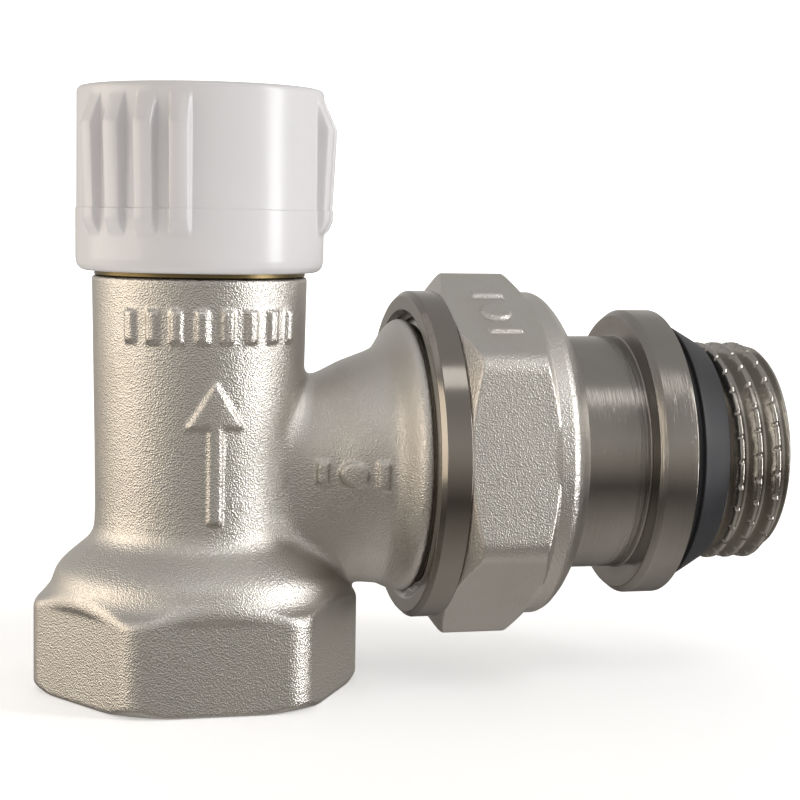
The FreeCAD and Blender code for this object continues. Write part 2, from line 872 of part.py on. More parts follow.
def build_tailpiece(doc, d):
    """The union tailpiece: ringed nose, shank, flange, seal seat and pipe thread."""
    body = new_body(doc, "tailpiece", d.branch_height)
    nose = d.nose_bore_radius - d.ring_gap
    large = d.ring_section_large
    ring_floor = nose - large * 2.0 - d.ring_gap
    ring_low = d.nose_start + 2.1
    ring_high = ring_low + large * 2.0 + 0.2
    shank_start = d.branch_face + d.face_gap
    bore_radius = ring_floor - d.nose_wall
    split_high = nut_shoulder(d) - d.face_gap
    split_low = split_high - d.ring_width
    split_floor = d.shank_radius - d.ring_groove_depth
    flange_end = d.flange_start + d.flange_length
    seat = d.thread_root_radius
    skin = [
        (d.nose_start, 0.0),
        (d.nose_start, nose - 0.5),
        (d.nose_start + 0.9, nose),
        (ring_low, nose),
        (ring_low, ring_floor),
        (ring_high, ring_floor),
        (ring_high, nose),
        (shank_start, nose),
        (shank_start, d.shank_radius - 0.4),
        (shank_start + 0.4, d.shank_radius),
        (split_low, d.shank_radius),
        (split_low, split_floor),
        (split_high, split_floor),
        (split_high, d.shank_radius),
        (d.flange_start, d.shank_radius),
        (d.flange_start, d.flange_radius - d.flange_bevel * 0.65),
        (d.flange_start + d.flange_bevel, d.flange_radius),
        (flange_end, d.flange_radius),
        (flange_end, seat),
        (d.seal_end, seat),
        (d.seal_end, d.thread_crest_radius),
        (d.tail_reach - d.tail_chamfer, d.thread_crest_radius),
        (d.tail_reach, d.thread_crest_radius - d.tail_chamfer),
        (d.tail_reach, 0.0),
    ]
    turn_profile(body, "turned", skin, "H_Axis")
    bore = [
        (d.nose_start - 0.5, 0.0),
        (d.nose_start - 0.5, bore_radius + 0.7),
        (d.nose_start + 0.2, bore_radius),
        (d.tail_key_start, bore_radius),
        (d.tail_key_start + 0.6, d.tail_key_across_flats / 2.0 - 0.3),
        (d.tail_reach + 0.5, d.tail_key_across_flats / 2.0 - 0.3),
        (d.tail_reach + 0.5, 0.0),
    ]
    turn_profile(body, "bore", bore, "H_Axis", cut=True)
    key = new_sketch(body, "key_sketch", "YZ_Plane", d.tail_key_start)
    draw_loop(key, hexagon(d.tail_key_across_flats), "k")
    extrude(body, "key", key, d.tail_reach - d.tail_key_start + 0.5, cut=True, reverse=True)
    centre = d.seal_end + d.thread_crest_flat + (d.thread_pitch - d.thread_crest_flat) / 2.0
    groove = turn_profile(body, "thread", thread_groove(d, centre, False), "H_Axis", cut=True)
    repeat_along(body, "threads", groove, "H_Axis", d.thread_pitch, 3)
    return body


def build_split_ring(doc, d):
    """The open spring ring that the nut pulls the tailpiece in by."""
    body = new_body(doc, "split_ring", d.branch_height)
    high = nut_shoulder(d) - d.face_gap * 2.0
    section = box_points(
        high - d.ring_width + d.face_gap * 2.0,
        high,
        d.shank_radius - d.ring_groove_depth + d.running_gap,
        d.ring_outer_radius,
    )
    turn_profile(body, "ring", section, "H_Axis", angle=Size.of(345.0))
    return body


def build_seal_ring(doc, d):
    """The tapered rubber ring behind the tail thread."""
    body = new_body(doc, "seal_ring", d.branch_height)
    start = d.flange_start + d.flange_length + d.face_gap
    inner = d.thread_root_radius + d.running_gap
    section = [
        (start, inner),
        (start, d.seal_big_radius - 0.6),
        (start + d.seal_step, d.seal_big_radius - 0.6),
        (start + d.seal_step, d.seal_big_radius),
        (d.seal_end - d.face_gap, d.seal_small_radius),
        (d.seal_end - d.face_gap, inner),
    ]
    turn_profile(body, "ring", section, "H_Axis")
    return body


BUILDERS = (
    build_valve_body,
    build_headwork,
    build_rings,
    build_spindle,
    build_clip,
    build_plug,
    build_seat_washer,
    build_washer_screw,
    build_cap,
    build_cap_gasket,
    build_union_nut,
    build_tailpiece,
    build_split_ring,
    build_seal_ring,
)


def check_features(doc):
    """Stop when any feature failed, or when a cut took nothing away."""
    for obj in doc.Objects:
        if "Invalid" in obj.State or "Error" in obj.State:
            raise RuntimeError("feature failed: " + obj.FullName)
        if obj.TypeId in ("PartDesign::Groove", "PartDesign::Pocket"):
            before = obj.BaseFeature.Shape.Volume
            if obj.Shape.Volume > before - 1e-4:
                raise RuntimeError("cut took nothing: " + obj.FullName)


def write_parts(doc):
    """Check each sub-part's shape and write it as a STEP file named for it."""
    os.makedirs(OUT_DIR, exist_ok=True)
    for obj in doc.Objects:
        if obj.TypeId != "PartDesign::Body":
            continue
        shape = obj.Shape
        if shape.isNull() or not shape.isValid() or len(shape.Solids) != 1:
            raise RuntimeError("bad shape: " + obj.Label)
        shape.exportStep(os.path.join(OUT_DIR, obj.Label + ".step"))


def main():
    """Build every sub-part, check it and write it out."""
    doc = FreeCAD.newDocument("lockshield_valve")
    d = fill_sheet(doc)
    for builder in BUILDERS:
        builder(doc, d)
    doc.recompute()
    check_features(doc)
    write_parts(doc)


main()
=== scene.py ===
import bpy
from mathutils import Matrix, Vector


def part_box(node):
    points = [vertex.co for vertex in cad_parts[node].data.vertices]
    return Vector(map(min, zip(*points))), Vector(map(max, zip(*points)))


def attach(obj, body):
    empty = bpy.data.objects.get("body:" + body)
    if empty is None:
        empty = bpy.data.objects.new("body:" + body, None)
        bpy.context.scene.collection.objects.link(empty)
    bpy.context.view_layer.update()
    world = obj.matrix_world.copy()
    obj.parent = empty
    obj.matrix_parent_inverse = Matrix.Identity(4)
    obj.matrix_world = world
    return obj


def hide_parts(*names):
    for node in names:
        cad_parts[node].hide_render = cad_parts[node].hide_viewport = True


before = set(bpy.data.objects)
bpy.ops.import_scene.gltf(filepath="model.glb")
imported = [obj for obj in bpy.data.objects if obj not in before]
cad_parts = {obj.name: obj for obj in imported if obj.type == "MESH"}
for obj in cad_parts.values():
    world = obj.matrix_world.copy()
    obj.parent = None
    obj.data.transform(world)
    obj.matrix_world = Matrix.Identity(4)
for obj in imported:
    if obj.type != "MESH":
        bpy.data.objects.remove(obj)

"""Looks of an angle lockshield valve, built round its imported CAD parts.

Everything is in metres in the part's own frame: +Z up the barrel, +X along the branch.
Shapes are worked out in millimetres and scaled once, when they become meshes.
"""

import logging
import math
from dataclasses import dataclass, field
from enum import Enum
from typing import Callable, Optional, Sequence

import bpy
import numpy as np
from mathutils import Euler, Matrix, Vector

LOG = logging.getLogger("lockshield")
MM = 0.001
PITCH = 1.8143  # G1/2 and G3/4 share fourteen threads to the inch


class Axis(Enum):
    """The line a turned piece goes round."""

    BARREL = "barrel"
    BRANCH = "branch"


@dataclass(frozen=True)
class Grain:
    """A fine relief on a finish.

    Args:
        size_mm: Size of one grain, or spacing of one turning line.
        height_mm: How far it stands out.
        turned: The axis that turning lines run round, or None for an even grain.
        peened: Small round domes, as shot leaves them, in place of soft waves.
    """

    size_mm: float
    height_mm: float
    turned: Optional[Axis] = None
    peened: bool = False


@dataclass(frozen=True)
class Finish:
    """One material, named for what it is.

    Args:
        name: Material name.
        colour: Main sRGB colour as a hex string.
        tint: Second sRGB colour that drifts in over a few millimetres.
        metallic: 1 for bare metal and 0 for rubber or plastic.
        roughness: Mean roughness of the surface.
        spread: How far the roughness drifts either way.
        grains: Fine reliefs, coarse first.
        slot: The record's material slot; not used.
    """

    name: str
    colour: str
    tint: str
    metallic: float
    roughness: float
    spread: float
    grains: tuple[Grain, ...]
    slot: str


# Shot-blasted and plated: a broad soft sheen broken up by fine bright specks.
FORGED = Finish(
    "nickel_plated_forging", "#D6D3CE", "#C5C0B8", 1.0, 0.37, 0.05,
    (Grain(0.6, 0.014), Grain(0.14, 0.046, peened=True)), "forged_nickel",
)
# Turned bright: sharp light and dark bands that run round the collar. Its colour is darkened
# below the forging's as a painted dark reflection.
COLLAR = Finish(
    "nickel_turned_bright", "#9A958E", "#88827A", 1.0, 0.15, 0.05,
    (Grain(0.14, 0.006, Axis.BRANCH),), "forged_nickel",
)
# Turned and plated: highlights drawn out into short streaks round the shank.
TURNED = Finish(
    "nickel_turned", "#A6A29C", "#8E8982", 1.0, 0.22, 0.07,
    (Grain(0.42, 0.030, Axis.BRANCH), Grain(0.17, 0.024, Axis.BRANCH)), "turned_nickel",
)
# Plated threads, a little uneven from the die, so their crests glint.
THREADED = Finish(
    "nickel_thread", "#B9B5AE", "#97928B", 1.0, 0.26, 0.06,
    (Grain(0.30, 0.030),), "turned_nickel",
)
# Machined faces of the body: cleaner and smoother than its forged skin.
INLET = Finish(
    "nickel_inlet", "#C3BFB9", "#ABA69F", 1.0, 0.24, 0.05,
    (Grain(0.12, 0.006, Axis.BARREL),), "forged_nickel",
)
# Unplated brass, dark olive: its own olive tone, darkened as painted shade for the cap's shadow
# on the line under the cap.
BRASS = Finish(
    "turned_brass", "#7F7150", "#6A5D41", 1.0, 0.34, 0.06,
    (Grain(0.12, 0.004, Axis.BARREL),), "turned_brass",
)
# Drawn spring wire: grey with a soft glint.
STEEL = Finish(
    "spring_steel", "#8F9094", "#7C7D82", 1.0, 0.30, 0.04,
    (Grain(0.20, 0.004),), "spring_steel",
)
# Moulded rubber: nearly black with a dull blue-grey sheen.
RUBBER = Finish(
    "black_rubber", "#1B1C20", "#26272C", 0.0, 0.50, 0.07,
    (Grain(0.22, 0.012),), "black_rubber",
)
# Moulded plastic: white with one clear, slightly soft highlight.
PLASTIC = Finish(
    "white_plastic", "#D4D2D3", "#CBC9CB", 0.0, 0.24, 0.03,
    (Grain(1.8, 0.010),), "white_plastic",
)
# Stretches a pattern round an axis, so that it reads as turning lines.
STREAKS = {Axis.BRANCH: (1.0, 0.05, 0.05), Axis.BARREL: (0.05, 0.05, 1.0)}
DRIFT_MM = 7.0  # size of the slow changes in tone and polish
FINISHES = (FORGED, COLLAR, TURNED, THREADED, INLET, BRASS, STEEL, RUBBER, PLASTIC)


def srgb(code: str) -> tuple[float, float, float, float]:
    """Turn a hex sRGB colour into linear light."""
    parts = [int(code[i : i + 2], 16) / 255.0 for i in (1, 3, 5)]
    lin = [p / 12.92 if p <= 0.04045 else ((p + 0.055) / 1.055) ** 2.4 for p in parts]
    return (lin[0], lin[1], lin[2], 1.0)


def wire(tree: bpy.types.NodeTree, kind: str, settings: dict, links: dict) -> bpy.types.Node:
    """Add a node, set its properties or inputs, and link outputs into its inputs.

    Args:
        tree: The node tree.
        kind: Blender's node type name.
        settings: Property names, or input names or numbers, with their values.
        links: Input names or numbers with the output sockets that feed them.
    """
    node = tree.nodes.new(kind)
    for key, value in settings.items():
        if isinstance(key, str) and hasattr(node, key):
            setattr(node, key, value)
        else:
            node.inputs[key].default_value = value
    for key, socket in links.items():
        tree.links.new(socket, node.inputs[key])
    return node


def make_material(finish: Finish) -> bpy.types.Material:
    """Build one procedural material.

    Args:
        finish: What it is made of and how it is finished.
    Returns:
        The material, whose pattern is sized in real millimetres.
    """
    mat = bpy.data.materials.new(finish.name)
    mat.use_nodes = True
    tree = mat.node_tree
    tree.nodes.clear()
    place = wire(tree, "ShaderNodeTexCoord", {}, {}).outputs["Object"]
    slow = {"Scale": 1.0 / (DRIFT_MM * MM), "Detail": 3.0}
    drift = wire(tree, "ShaderNodeTexNoise", slow, {"Vector": place})
    colour = wire(
        tree,
        "ShaderNodeMix",
        {"data_type": "RGBA", 6: srgb(finish.colour), 7: srgb(finish.tint)},
        {"Factor": drift.outputs["Fac"]},
    )
    rough = wire(
        tree,
        "ShaderNodeMapRange",
        {
            "From Min": 0.3,
            "From Max": 0.7,
            "To Min": finish.roughness - finish.spread,
            "To Max": finish.roughness + finish.spread,
        },
        {"Value": drift.outputs["Fac"]},
    )
    normal = None
    for grain in finish.grains:
        scale = 1.0 / (grain.size_mm * MM)
        where = place
        if grain.turned is not None:
            where = wire(
                tree,
                "ShaderNodeVectorMath",
                {"operation": "MULTIPLY", 1: STREAKS[grain.turned]},
                {0: place},
            ).outputs["Vector"]
        if grain.peened:
            cells = {"feature": "SMOOTH_F1", "Scale": scale, "Smoothness": 0.6}
            relief = wire(tree, "ShaderNodeTexVoronoi", cells, {"Vector": where})
            feed = {"Height": relief.outputs["Distance"]}
        else:
            waves = {"Scale": scale, "Detail": 3.0, "Roughness": 0.6}
            relief = wire(tree, "ShaderNodeTexNoise", waves, {"Vector": where})
            feed = {"Height": relief.outputs["Fac"]}
        if normal is not None:
            feed["Normal"] = normal
        bump = wire(
            tree, "ShaderNodeBump", {"Strength": 1.0, "Distance": grain.height_mm * MM}, feed
        )
        normal = bump.outputs["Normal"]
    shader = wire(
        tree,
        "ShaderNodeBsdfPrincipled",
        {"Metallic": finish.metallic},
        {
            "Base Color": colour.outputs[2],
            "Roughness": rough.outputs["Result"],
            "Normal": normal,
        },
    )
    wire(tree, "ShaderNodeOutputMaterial", {}, {"Surface": shader.outputs["BSDF"]})
    return mat


class Paint:
    """Makes each finish once and puts it on pieces."""

    def __init__(self) -> None:
        self.made = {finish.name: make_material(finish) for finish in FINISHES}

    def put(self, obj: bpy.types.Object, finish: Finish) -> None:
        """Give a piece one finish."""
        obj.data.materials.clear()
        obj.data.materials.append(self.made[finish.name])


def mesh_object(name: str, points: np.ndarray, faces: np.ndarray) -> bpy.types.Object:
    """Make a smooth object from millimetre points and quads, and link it to the scene."""
    mesh = bpy.data.meshes.new(name)
    mesh.vertices.add(len(points))
    mesh.vertices.foreach_set("co", (points * MM).astype(np.float32).ravel())
    mesh.loops.add(len(faces) * 4)
    mesh.loops.foreach_set("vertex_index", faces.astype(np.int32).ravel())
    mesh.polygons.add(len(faces))
    mesh.polygons.foreach_set("loop_start", np.arange(0, len(faces) * 4, 4, dtype=np.int32))
    mesh.update(calc_edges=True)
    mesh.validate()
    mesh.polygons.foreach_set("use_smooth", np.ones(len(mesh.polygons), dtype=bool))
    obj = bpy.data.objects.new(name, mesh)
    bpy.context.scene.collection.objects.link(obj)
    return obj


Outline = Sequence[tuple[float, float]]
Swell = Callable[[np.ndarray, np.ndarray, np.ndarray], np.ndarray]


def soften(outline: Outline, radius: float, closed: bool = False) -> list[tuple[float, float]]:
    """Round every corner of an outline a little, as a real turned edge is.

    Args:
        outline: Points as (along, radius) in millimetres.
        radius: Size of the rounding, kept under half of each neighbouring side.
        closed: Whether the last point joins the first.
    """
    pts = [np.array(p, float) for p in outline]
    count = len(pts)
    out: list[tuple[float, float]] = []
    for i, here in enumerate(pts):
        if not closed and i in (0, count - 1):
            out.append((float(here[0]), float(here[1])))
            continue
        before, after = pts[i - 1], pts[(i + 1) % count]
        a, b = before - here, after - here
        la, lb = float(np.linalg.norm(a)), float(np.linalg.norm(b))
        if la < 1e-9 or lb < 1e-9:
            continue
        cut = min(radius, la * 0.45, lb * 0.45)
        start, end = here + a / la * cut, here + b / lb * cut
        for t in np.linspace(0.0, 1.0, 5):
            p = (1 - t) ** 2 * start + 2 * t * (1 - t) * here + t * t * end
            out.append((float(p[0]), float(p[1])))
    return out


def dense(outline: Outline, step: float) -> np.ndarray:
    """Add points along an outline so that no stretch is longer than step."""
    pts = np.array(outline, float)
    rows = [pts[0]]
    for a, b in zip(pts[:-1], pts[1:]):
        n = max(1, int(math.ceil(float(np.linalg.norm(b - a)) / step)))
        rows.extend(a + (b - a) * (k / n) for k in range(1, n + 1))
    return np.array(rows)


@dataclass(frozen=True)
class Turning:
    """A surface turned round the barrel's or the branch's axis.

    Args:
        axis: Which axis it goes round.
        height: Height of the branch's axis, in millimetres.
        segments: Faces round the circle.
    """

    axis: Axis
    height: float = 0.0
    segments: int = 192

    def build(
        self,
        name: str,
        outline: Outline,
        step: float = 1.0,
        swell: Optional[Swell] = None,
        closed: bool = False,
    ) -> bpy.types.Object:
        """Turn an outline into an object.

        Args:
            name: Object name.
            outline: Points as (along, radius), outer skin in the direction of the axis.
            step: Longest stretch between rows.
            swell: Gives the radius from along, radius and angle, for threads and flats.
            closed: Join the last row to the first.
        """
        rows = dense(list(outline) + ([outline[0]] if closed else []), step)
        if closed:
            rows = rows[:-1]
        turn = np.linspace(0.0, 2.0 * math.pi, self.segments, endpoint=False)
        along = np.repeat(rows[:, :1], self.segments, 1)
        radius = np.repeat(rows[:, 1:], self.segments, 1)
        angle = np.repeat(turn[None, :], len(rows), 0)
        if swell is not None:
            radius = swell(along, radius, angle)
        u, v = radius * np.cos(angle), radius * np.sin(angle)
        if self.axis is Axis.BARREL:
            points = np.stack([u, v, along], -1)
        else:
            points = np.stack([along, u, v + self.height], -1)
        n, m = len(rows), self.segments
        i = np.arange(n if closed else n - 1)[:, None]
        j = np.arange(m)[None, :]
        i2, j2 = (i + 1) % n, (j + 1) % m
        faces = np.stack(
            [i * m + j, i * m + j2, i2 * m + j2, i2 * m + j], -1
        ).reshape(-1, 4)
        return mesh_object(name, points.reshape(-1, 3), faces)


@dataclass(frozen=True)
class Thread:
    """A right-hand parallel pipe thread with rounded crests.

    Args:
        crest: Larger radius.
        root: Smaller radius.
        start: Station of the thread's first end.
        end: Station of its other end.
        pitch: Advance in one turn.
        notches: Cross nicks in each turn of the crest, or 0.
        gap: Radial room left against the mating thread.
    """

    crest: float
    root: float
    start: float
    end: float
    pitch: float = PITCH
    notches: int = 0
    gap: float = 0.0

    def profile(self, along: np.ndarray, angle: np.ndarray) -> np.ndarray:
        """Radius of the thread at each station and angle, 0 at the root and 1 at the crest."""
        phase = ((along - self.start) / self.pitch - angle / (2.0 * math.pi)) % 1.0
        ridge = np.abs(phase - 0.5) * 2.0
        flank = np.clip((ridge - 0.14) / 0.72, 0.0, 1.0)
        return 0.5 * flank + 0.5 * (0.5 - 0.5 * np.cos(math.pi * flank))

    def fade(self, along: np.ndarray) -> np.ndarray:
        """1 along the thread, dropping to 0 over half a pitch past either end."""
        run = self.pitch * 0.5
        rise = np.clip((along - self.start) / run + 1.0, 0.0, 1.0)
        drop = np.clip((self.end - along) / run + 1.0, 0.0, 1.0)
        return rise * drop

    def male(self, along: np.ndarray, radius: np.ndarray, angle: np.ndarray) -> np.ndarray:
        """Cut the thread into the outside of a turned piece."""
        depth = self.crest - self.root
        cut = self.crest - self.gap - depth * (1.0 - self.profile(along, angle))
        if self.notches:
            nick = np.cos(angle * self.notches + along * 0.9)
            nick = np.clip((nick - 0.74) / 0.26, 0.0, 1.0)
            crown = np.clip((self.profile(along, angle) - 0.6) / 0.4, 0.0, 1.0)
            cut = cut - 0.2 * nick * crown
        inside = (along > self.start - self.pitch) & (along < self.end + self.pitch)
        faded = radius - (radius - cut) * self.fade(along)
        return np.where(inside & (radius > self.root - 0.2), np.minimum(radius, faded), radius)

    def female(self, along: np.ndarray, radius: np.ndarray, angle: np.ndarray) -> np.ndarray:
        """Cut the thread into the inside of a turned piece."""
        depth = self.crest - self.root
        cut = self.crest + self.gap - depth * (1.0 - self.profile(along, angle))
        inside = (along > self.start - self.pitch) & (along < self.end + self.pitch)
        faded = radius + (cut - radius) * self.fade(along)
        return np.where(inside & (radius < self.crest + 0.2), np.maximum(radius, faded), radius)


def hexagon_radius(angle: np.ndarray, flats: float, corner: float, phase: float) -> np.ndarray:
    """Radius of a hexagon with rounded corners.

    Args:
        angle: Angle of each point.
        flats: Half of the size across flats.
        corner: Radius of the corner rounding.
        phase: Angle of one corner, in radians.
    """
    local = (angle - phase + math.pi / 6.0) % (math.pi / 3.0) - math.pi / 6.0
    away = math.pi / 6.0 - np.abs(local)
    flat = flats / np.cos(away)
    hub = (flats - corner) / math.cos(math.pi / 6.0)
    across = hub * np.sin(np.abs(local))
    round_end = hub * np.cos(local) + np.sqrt(np.maximum(corner**2 - across**2, 0.0))
    tangent = np.arctan2((flats - corner) * math.tan(math.pi / 6.0), flats)
    return np.where(away < tangent, flat, round_end)


def smooth_min(a: np.ndarray, b: np.ndarray, k: float) -> np.ndarray:
    """Blend two fields so that their join is a fillet of about k."""
    h = np.clip(0.5 + 0.5 * (b - a) / k, 0.0, 1.0)
    return b + (a - b) * h - k * h * (1.0 - h)


def smooth_max(a: np.ndarray, b: np.ndarray, k: float) -> np.ndarray:
    """Blend the overlap of two fields so that its edge is a rounding of about k."""
    return -smooth_min(-a, -b, k)


@dataclass(frozen=True)
class Lofted:
    """A radius that changes smoothly along an axis, read from a short table."""

    table: tuple[tuple[float, float], ...]
    blur: float = 0.5

    def at(self, along: np.ndarray) -> np.ndarray:
        """Smoothed radius at each station."""
        keys = np.array(self.table, float)
        total = 0.0
        shifts = np.array([-1.0, -0.5, 0.0, 0.5, 1.0]) * self.blur
        weights = np.array([0.1, 0.25, 0.3, 0.25, 0.1])
        for shift, weight in zip(shifts, weights):
            total = total + weight * np.interp(along + shift, keys[:, 0], keys[:, 1])
        return total

    def field(self, along: np.ndarray, radius: np.ndarray) -> np.ndarray:
        """Distance of each point outside the turned surface."""
        slope = (self.at(along + 0.1) - self.at(along - 0.1)) / 0.2
        return (radius - self.at(along)) / np.sqrt(1.0 + slope**2)


@dataclass(frozen=True)
class Forging:
    """The forged skin of the body as a field, with its raised marks.

    Args:
        height: Height of the branch's axis.
        flats: Half of the foot's size across flats.
        top: Height of the barrel's machined top.
        foot: Height of the foot's flats.
        corner: Rounding of the foot's corners.
        web_drop: How far the web under the branch lies below the branch's axis.
        web_radius: Radius of that web.
        row_height: Height of the row of raised bars.
        bars: How many bars the row has.
        bar_pitch: Distance between two bars of the row.
        proud: How far the marks on the barrel stand out.
        branch_proud: How far the marks on the branch stand out.
    """

    height: float
    flats: float
    top: float
    foot: float = 9.3
    corner: float = 3.0
    web_drop: float = 5.4
    web_radius: float = 6.6
    row_height: float = 33.4
    bars: int = 8
    bar_pitch: float = 2.2
    proud: float = 0.36
    branch_proud: float = 0.32
    barrel: Lofted = Lofted(
        (
            (-2.0, 13.15), (9.4, 13.2), (10.3, 13.1), (10.9, 12.9), (11.5, 12.47),
            (12.2, 11.75), (12.9, 10.9), (13.6, 10.05), (14.3, 9.6), (15.0, 9.43),
            (16.5, 9.37), (22.0, 9.42), (37.5, 9.7), (40.0, 9.7),
        ),
        0.35,
    )
    branch: Lofted = Lofted(
        (
            (-2.0, 6.2), (7.0, 6.3), (9.0, 6.9), (11.3, 7.8), (13.2, 8.75), (15.9, 9.75),
            (16.7, 10.2), (17.3, 11.1), (18.0, 12.2), (18.5, 12.62), (22.0, 12.62),
        ),
        0.45,
    )

    def marks(self, p: np.ndarray) -> np.ndarray:
        """How far the plain raised marks stand out of the skin at each point."""
        x, y, z = p[:, 0], p[:, 1], p[:, 2]
        front = y < 0
        around = (np.arctan2(y, x) + math.pi / 2.0) * 9.5
        high = np.full(len(p), 9.0)
        for k in range(self.bars):
            across = around + self.bar_pitch * (3.5 - k)
            high = np.minimum(high, bar(across, z - self.row_height, 0.5, 1.4))
        shaft = bar(around - 0.1, z - 20.6, 0.62, 4.4)
        head = arrow_head(around - 0.1, z - 26.6, 2.5, 4.0)
        high = np.minimum(high, np.minimum(shaft, head))
        raised = self.proud * ease(0.5 - high / 0.42) * front * (x < 8.6)
        side = np.arctan2(z - self.height, -y) * 9.2 + 0.9
        plain = np.minimum(bar(side, x - 10.1, 1.25, 0.5), np.hypot(side, x - 12.7) - 1.2)
        plain = np.minimum(plain, bar(side, x - 15.2, 1.25, 0.5))
        on_branch = self.branch_proud * ease(0.5 - plain / 0.40) * front
        return np.where(x > 9.0, on_branch, raised)

    def value(self, p: np.ndarray) -> np.ndarray:
        """Distance of each point outside the metal."""
        x, y, z = p[:, 0], p[:, 1], p[:, 2]
        r = np.hypot(x, y)
        off = np.hypot(y, z - self.height)
        low = np.hypot(y, z - (self.height - self.web_drop))
        hexagon = r - hexagon_radius(np.arctan2(y, x), self.flats, self.corner, 0.0)
        hexagon = hexagon * 0.97
        arcs = ((r - self.flats) * 1.15 + (z - self.foot) * 1.7) / 2.05
        edge = ((r - self.flats - 0.6) * 0.6 - z * 0.9) / 1.08
        foot = smooth_max(smooth_max(hexagon, arcs, 0.5), smooth_max(edge, 0.03 - z, 0.2), 0.25)
        barrel = smooth_max(self.barrel.field(z, r), z - self.top + 0.05, 0.3)
        barrel = np.maximum(barrel, 8.8 - z)
        branch = smooth_max(self.branch.field(x, off), np.abs(x - 9.4) - 9.85, 0.5)
        web = low - self.web_radius + 0.05 * np.abs(x - 16.0)
        web = smooth_max(web, np.abs(x - 8.6) - 9.0, 1.5)
        skin = smooth_min(branch, web, 2.6)
        skin = smooth_min(barrel, skin, 1.6)
        skin = smooth_min(skin, foot, 1.0) - self.marks(p)
        inlet = np.maximum(r - 11.35, z - 11.8)
        chamber = np.maximum(r - 7.1, np.abs(z - 20.7) - 6.5)
        headwork = np.maximum(r - 7.45, 26.0 - z)
        waterway = np.maximum(off - 6.15, -x)
        seat = np.maximum(r - 5.6, np.abs(z - 13.0) - 3.0)
        for hole in (inlet, chamber, headwork, waterway, seat):
            skin = np.maximum(skin, -hole)
        return skin


def ease(t: np.ndarray) -> np.ndarray:
    """A smooth step from 0 to 1."""
    t = np.clip(t, 0.0, 1.0)
    return t * t * (3.0 - 2.0 * t)


def bar(u: np.ndarray, v: np.ndarray, half_u: float, half_v: float) -> np.ndarray:
    """Distance outside a rounded bar drawn on a surface."""
    du, dv = np.abs(u) - half_u, np.abs(v) - half_v
    outside = np.hypot(np.maximum(du, 0.0), np.maximum(dv, 0.0))
    return outside + np.minimum(np.maximum(du, dv), 0.0)


def arrow_head(u: np.ndarray, v: np.ndarray, half: float, tall: float) -> np.ndarray:
    """Distance outside a plain triangle that points along v."""
    lean = math.hypot(half, tall)
    sides = (np.abs(u) * tall + (v - tall / 2.0) * half) / lean
    return np.maximum(sides, -tall / 2.0 - v)


def surface_net(
    value: Callable[[np.ndarray], np.ndarray], low: np.ndarray, high: np.ndarray, step: float
) -> tuple[np.ndarray, np.ndarray]:
    """Mesh the zero surface of a field, then pull each point onto it.

    Args:
        value: Field that is negative inside.
        low: Lowest corner of the region.
        high: Highest corner.
        step: Grid spacing.
    Returns:
        Points and quads.
    """
    count = np.ceil((high - low) / step).astype(int) + 1
    lines = [low[a] + step * np.arange(count[a]) for a in range(3)]
    grid = np.empty(tuple(count), np.float32)
    cross_y, cross_z = np.meshgrid(lines[1], lines[2], indexing="ij")
    for i, x in enumerate(lines[0]):
        slab = np.stack([np.full(cross_y.size, x), cross_y.ravel(), cross_z.ravel()], -1)
        grid[i] = value(slab).reshape(cross_y.shape)
    inside = grid < 0
    corners = [(a, b, c) for a in (0, 1) for b in (0, 1) for c in (0, 1)]
    shape = tuple(n - 1 for n in count)
    filled = np.zeros(shape, np.int8)
    for a, b, c in corners:
        filled += inside[a : a + shape[0], b : b + shape[1], c : c + shape[2]]
    active = (filled > 0) & (filled < 8)
    index = np.full(shape, -1, np.int64)
    cells = np.argwhere(active)
    index[active] = np.arange(len(cells))
    values = np.stack(
        [grid[cells[:, 0] + a, cells[:, 1] + b, cells[:, 2] + c] for a, b, c in corners], -1
    )
    total, hits = np.zeros((len(cells), 3)), np.zeros(len(cells))
    for i, first in enumerate(corners):
        for j, second in enumerate(corners):
            if j <= i or sum(abs(p - q) for p, q in zip(first, second)) != 1:
                continue
            va, vb = values[:, i], values[:, j]
            crossed = (va < 0) != (vb < 0)
            t = np.where(crossed, va / np.where(crossed, va - vb, 1.0), 0.0)
            spot = np.array(first) + t[:, None] * (np.array(second) - np.array(first))
            total += spot * crossed[:, None]
            hits += crossed
    points = low + step * (cells + total / hits[:, None])
    quads = []
    for axis in range(3):
        one, two = (axis + 1) % 3, (axis + 2) % 3
        here = np.moveaxis(inside, (axis, one, two), (0, 1, 2))
        cell = np.moveaxis(index, (axis, one, two), (0, 1, 2))
        change = here[:-1, 1:-1, 1:-1] != here[1:, 1:-1, 1:-1]
        i, j, k = np.nonzero(change)
        ring = np.stack(
            [cell[i, j, k], cell[i, j + 1, k], cell[i, j + 1, k + 1], cell[i, j, k + 1]], -1
        )
        outward = here[i, j + 1, k + 1]
        quads.append(np.where(outward[:, None], ring, ring[:, ::-1]))
    faces = np.concatenate(quads)
    for _ in range(3):
        here, slope = value(points), field_slope(value, points)
        points = points - np.clip(here, -step, step)[:, None] * slope
    return points, faces


def field_slope(value: Callable[[np.ndarray], np.ndarray], points: np.ndarray) -> np.ndarray:
    """Gradient of a field at each point, divided by its squared length."""
    nudge = 0.02
    slope = np.empty_like(points)
    for axis in range(3):
        shift = np.zeros(3)
        shift[axis] = nudge
        slope[:, axis] = (value(points + shift) - value(points - shift)) / (2.0 * nudge)
    return slope / np.maximum((slope**2).sum(-1), 0.25)[:, None]


